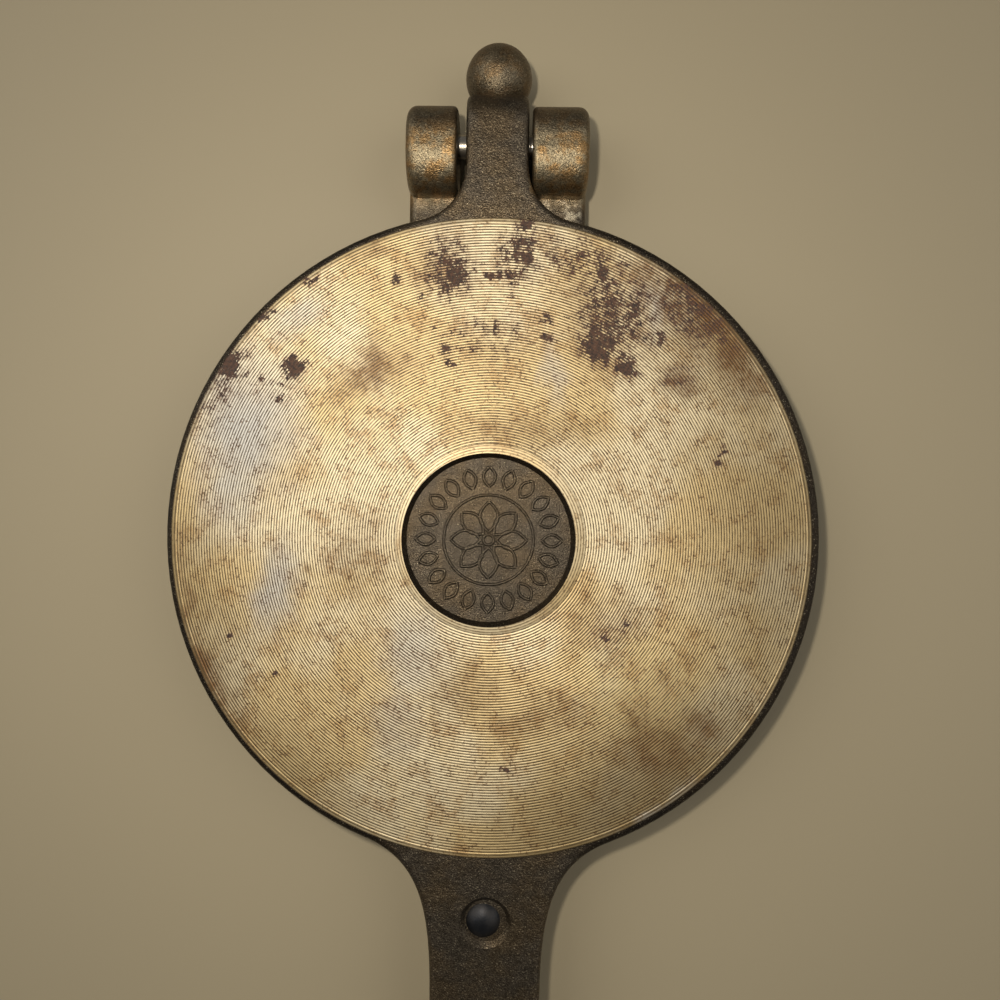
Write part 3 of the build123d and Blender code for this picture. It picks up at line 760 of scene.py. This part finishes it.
def ring_tree():
    """One plain ring."""
    tree = new_geometry_tree("rib_ring", {"Radius": 30.0, **RIB_SIZES})
    size = add_node(tree, "NodeGroupInput").outputs
    circle = add_node(tree, "GeometryNodeCurvePrimitiveCircle", {
        "Resolution": RING_STEPS, "Radius": size["Radius"]})
    return finish_wheel(tree, swept_rib(tree, circle.outputs["Curve"], size), size)


def scroll_wheel_tree():
    """Scrolls that curl in from a start radius of their own, each set out along the wheel."""
    tree = new_geometry_tree("scroll_wheel", {
        "Set Out": 50.0, "Curl Radius": 6.0, "Curls": 1.4, "Other Way": 0.0, **RIB_SIZES})
    size = add_node(tree, "NodeGroupInput").outputs
    curl = add_node(tree, "GeometryNodeCurveSpiral", {
        "Resolution": SCROLL_STEPS, "Rotations": size["Curls"], "Start Radius": SCROLL_EYE,
        "End Radius": size["Curl Radius"], "Height": 0.0, "Reverse": size["Other Way"]})
    out = add_node(tree, "ShaderNodeCombineXYZ", {"X": size["Set Out"]}).outputs["Vector"]
    moved = add_node(tree, "GeometryNodeTransform", {
        "Geometry": curl.outputs["Curve"], "Translation": out})
    return finish_wheel(tree, swept_rib(tree, moved.outputs["Geometry"], size), size)


petals, ring, scrolls = petal_wheel_tree(), ring_tree(), scroll_wheel_tree()


def ornament(name, parts, common):
    """Make each part of an ornament and join them into one piece."""
    joined = bmesh.new()
    for number, (tree, sizes) in enumerate(parts):
        part = made_by(tree, f"{name}_{number}", {**common, **sizes})
        joined.from_mesh(part.data)
        bpy.data.objects.remove(part)
    mesh = bpy.data.meshes.new(name)
    joined.to_mesh(mesh)
    joined.free()
    mesh.materials.append(common["Finish"])
    piece = bpy.data.objects.new(name, mesh)
    bpy.context.scene.collection.objects.link(piece)
    return piece


# %% [markdown]
# The flower in the recess is an old folk pattern: eight petals in a ring, with a border of
# small leaves. The baking faces have larger petals, scrolls between them and a scalloped edge.

# %% Lay the ornament on both halves
FLOWER = [
    (petals, {"Count": 8, "Start Radius": 2.0, "End Radius": 9.6, "Half Width": 2.3}),
    (petals, {"Count": 20, "Start Radius": 13.4, "End Radius": 18.4, "Half Width": 1.5}),
    (ring, {"Count": 1, "Radius": 1.3}), (ring, {"Count": 1, "Radius": 11.3}),
]
WAFER_PATTERN = [
    (ring, {"Count": 1, "Radius": 73.5}), (ring, {"Count": 1, "Radius": 71.0}),
    (ring, {"Count": 1, "Radius": 12.5}), (ring, {"Count": 1, "Radius": 3.0}),
    (petals, {"Count": 48, "Start Radius": 66.2, "End Radius": 71.0, "Half Width": 2.6}),
    (petals, {"Count": 8, "Start Radius": 13.5, "End Radius": 64.0, "Half Width": 10.5}),
    (petals, {"Count": 8, "Start Radius": 20.0, "End Radius": 54.0, "Half Width": 6.0}),
    (petals, {"Count": 8, "Start Radius": 28.0, "End Radius": 46.0, "Half Width": 2.6}),
    (petals, {"Count": 8, "Start Radius": 30.0, "End Radius": 48.0, "Half Width": 3.4,
              "Turn": 22.5}),
    (scrolls, {"Count": 8, "Set Out": 57.5, "Curl Radius": 5.6, "Turn": 16.8}),
    (scrolls, {"Count": 8, "Set Out": 57.5, "Curl Radius": 5.6, "Turn": 28.2, "Other Way": 1.0}),
    (petals, {"Count": 16, "Start Radius": 4.0, "End Radius": 11.5, "Half Width": 1.5}),
]
for half, iron in (("upper", upper_iron), ("lower", lower_iron)):
    flower = ornament(half + "_recess_flower", FLOWER, {
        "Floor": RECESS_FLOOR, "Centre X": RECESS_CENTRE.x, "Centre Y": RECESS_CENTRE.y,
        "Rib Width": 0.8, "Rib Height": 0.35, "Finish": iron})
    pattern = ornament(half + "_wafer_pattern", WAFER_PATTERN, {"Finish": iron})
    turn_over(pattern if half == "upper" else flower)
    for piece in (flower, pattern):
        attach(piece, half + "_half")
        print(piece.name, len(piece.data.polygons), "faces")

# %% [markdown]
# ## Table, light and camera
# The iron lies on a plain pale table, whose top is a hair lower than the iron's underside, so
# that the two never share a plane. One small lamp beside the camera does what a flash does.
# Daylight from a window on the left and a pale wall on the right comes as two very broad suns,
# and the world gives the rest.

# %% Table
TABLE_WIDTH = 24.0
TABLE_BELOW = 0.0002
table_material, tree, shader = new_material("table_pale")
shader.inputs["Base Color"].default_value = linear("#93876d")
shader.inputs["Roughness"].default_value = 0.6
bpy.ops.mesh.primitive_plane_add(size=TABLE_WIDTH, location=(0, 0, -TABLE_BELOW))
table = bpy.context.object
table.name = "table"
table.data.materials.append(table_material)
print("table", table.dimensions)


# %% Lamps and world
def aimed_lamp(name, kind, place, aim, energy, colour):
    """A lamp that looks from its place at a point."""
    lamp = bpy.data.lights.new(name, kind)
    lamp.energy, lamp.color = energy, linear(colour)[:3]
    holder = bpy.data.objects.new(name, lamp)
    holder.location = place
    holder.rotation_euler = (Vector(aim) - Vector(place)).to_track_quat("-Z", "Y").to_euler()
    bpy.context.scene.collection.objects.link(holder)
    return holder


FLASH_PLACE = (-0.030, 0.045, 0.245)
FLASH_SIZE = 0.014
FLASH_WATTS = 0.47
DAYLIGHT = {"window": ((-0.95, 0.3, 0.9), 1.05), "wall": ((0.95, 0.1, 0.9), 0.85)}
DAYLIGHT_SPREAD = 0.9
WORLD_STRENGTH = 0.22

flash = aimed_lamp("flash", "AREA", FLASH_PLACE, (0, 0.01, 0.02), FLASH_WATTS, "#fff8ec")
flash.data.size = FLASH_SIZE
flash.visible_camera = False
for name, (place, strength) in DAYLIGHT.items():
    daylight = aimed_lamp(name, "SUN", place, (0, -0.05, 0.02), strength, "#fffdf8")
    daylight.data.angle = DAYLIGHT_SPREAD
world = bpy.data.worlds.new("room")
bpy.context.scene.world = world
world.use_nodes = True
background = world.node_tree.nodes["Background"]
background.inputs["Color"].default_value = linear("#d6d4cf")
background.inputs["Strength"].default_value = WORLD_STRENGTH
bpy.context.scene.view_settings.view_transform = "Standard"

# %% [markdown]
# The camera looks down from about 21 cm above the back face, from just past the middle toward
# the hinge. That near, the ball nose is seen from its side, and the upper plate hides the lower.

# %% Camera
CAMERA_PLACE = Vector((4.9, 11.7, 229.0))
CAMERA_AIM = Vector((2.05, 9.8, FACE_HEIGHT))
CAMERA_TURN = math.radians(0.9)
LENS = 30.2
SENSOR_WIDTH = 36.0
NEAREST = 0.01

camera_data = bpy.data.cameras.new("camera")
camera_data.lens = LENS
camera_data.sensor_width = SENSOR_WIDTH
camera_data.clip_start = NEAREST
camera = bpy.data.objects.new("camera", camera_data)
bpy.context.scene.collection.objects.link(camera)
back = (CAMERA_PLACE - CAMERA_AIM).normalized()
up = Vector((-math.sin(CAMERA_TURN), math.cos(CAMERA_TURN), 0))
right = up.cross(back).normalized()
up = back.cross(right)
facing = Matrix((right, up, back)).transposed().to_4x4()
camera.matrix_world = Matrix.Translation(CAMERA_PLACE * MM) @ facing
bpy.context.scene.camera = camera
print("camera", [round(c, 4) for c in camera.location])
